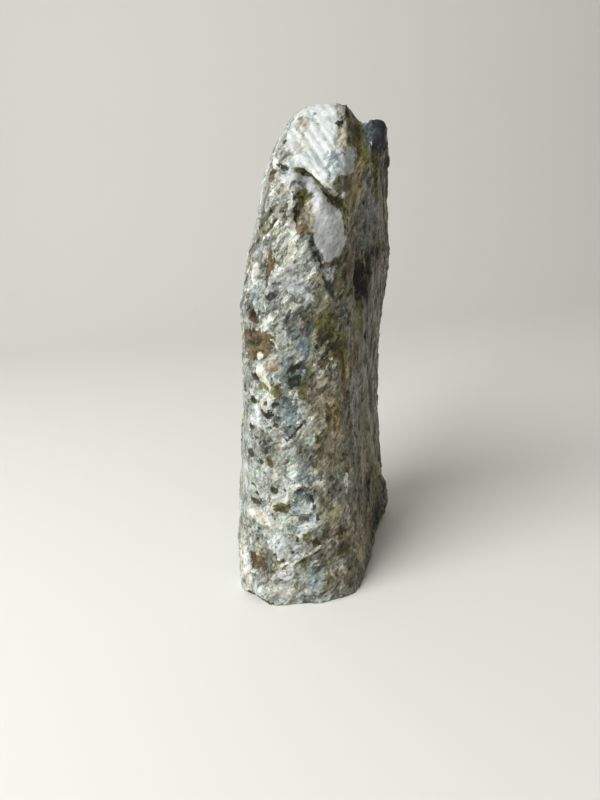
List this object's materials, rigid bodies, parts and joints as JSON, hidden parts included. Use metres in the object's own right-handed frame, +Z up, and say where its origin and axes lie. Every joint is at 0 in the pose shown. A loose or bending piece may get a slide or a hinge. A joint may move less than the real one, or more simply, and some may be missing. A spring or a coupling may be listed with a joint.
{
  "type": "soapstone block",
  "caption": "Tall rough soapstone block standing on a flat end: domed head, a thin fin behind a cleft, and a pitted, ledged and fluted skin.",
  "frame": {"origin": "centre of the block's bounding box, on the surface it stands on", "axes": "+Z up along the block's height; -Y towards the narrow front with the split face; +X towards the fluted side with the fin"},
  "size_m": [0.1096, 0.1082, 0.25],
  "materials": {
    "soapstone": "rough broken stone, mottled grey-white, olive, rust and blue-grey, with a wet sheen"
  },
  "bodies": {
    "root": {"soapstone_block": "soapstone"}
  },
  "joints": []
}
